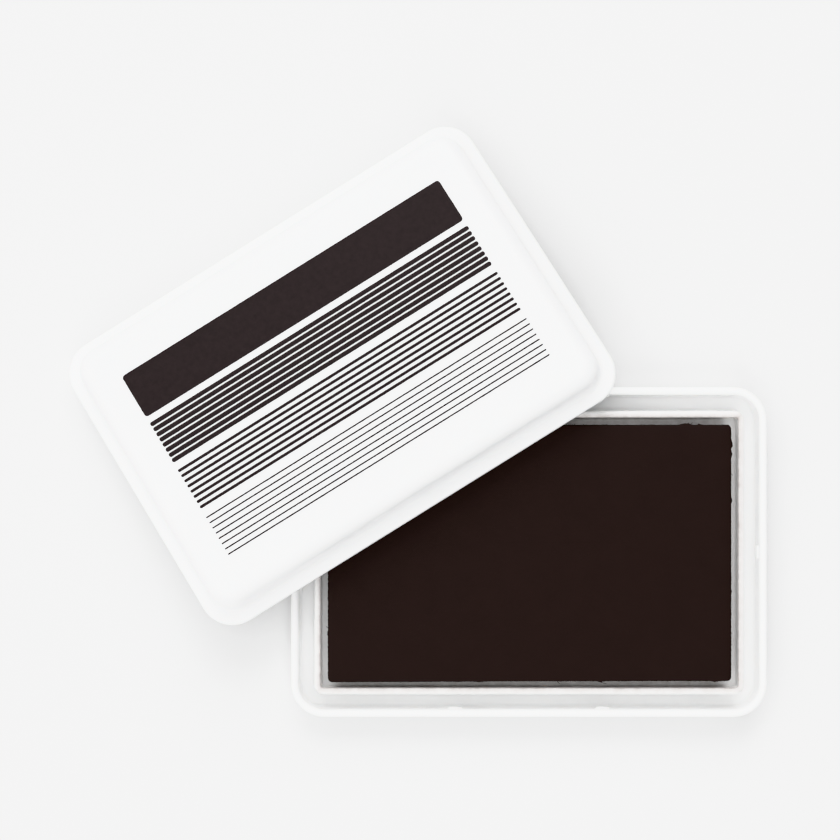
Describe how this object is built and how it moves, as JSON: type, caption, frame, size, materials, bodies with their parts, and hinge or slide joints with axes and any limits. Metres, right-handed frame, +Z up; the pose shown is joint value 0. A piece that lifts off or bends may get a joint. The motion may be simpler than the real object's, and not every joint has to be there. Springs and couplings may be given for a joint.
{
  "type": "raised ink pad",
  "caption": "Raised ink pad in a shallow two-part plastic case, its printed lid lifted off and leaned across one corner of the base.",
  "frame": {"origin": "centre of the base, in the plane of the foot it stands on", "axes": "+Z up, square to the underside; +X along the base's long side; +Y across it, towards the end where the lid lies"},
  "size_m": [0.1676, 0.1419, 0.0252],
  "materials": {
    "case_plastic": "satin",
    "adhesive": "matte",
    "foam": "matte",
    "inked_fabric": "matte",
    "lid_plastic": "satin",
    "print_ink": "matte"
  },
  "bodies": {
    "base": {"base_tray": "case_plastic", "pad_adhesive": "adhesive", "ink_foam": "foam", "pad_cover": "inked_fabric"},
    "lid": {"lid_shell": "lid_plastic", "lid_print": "print_ink"}
  },
  "joints": [
    {"name": "lid_lift", "type": "slide", "parent": "base", "child": "lid", "axis": [0, 0, 1], "range_m": [0, 0.06]}
  ]
}
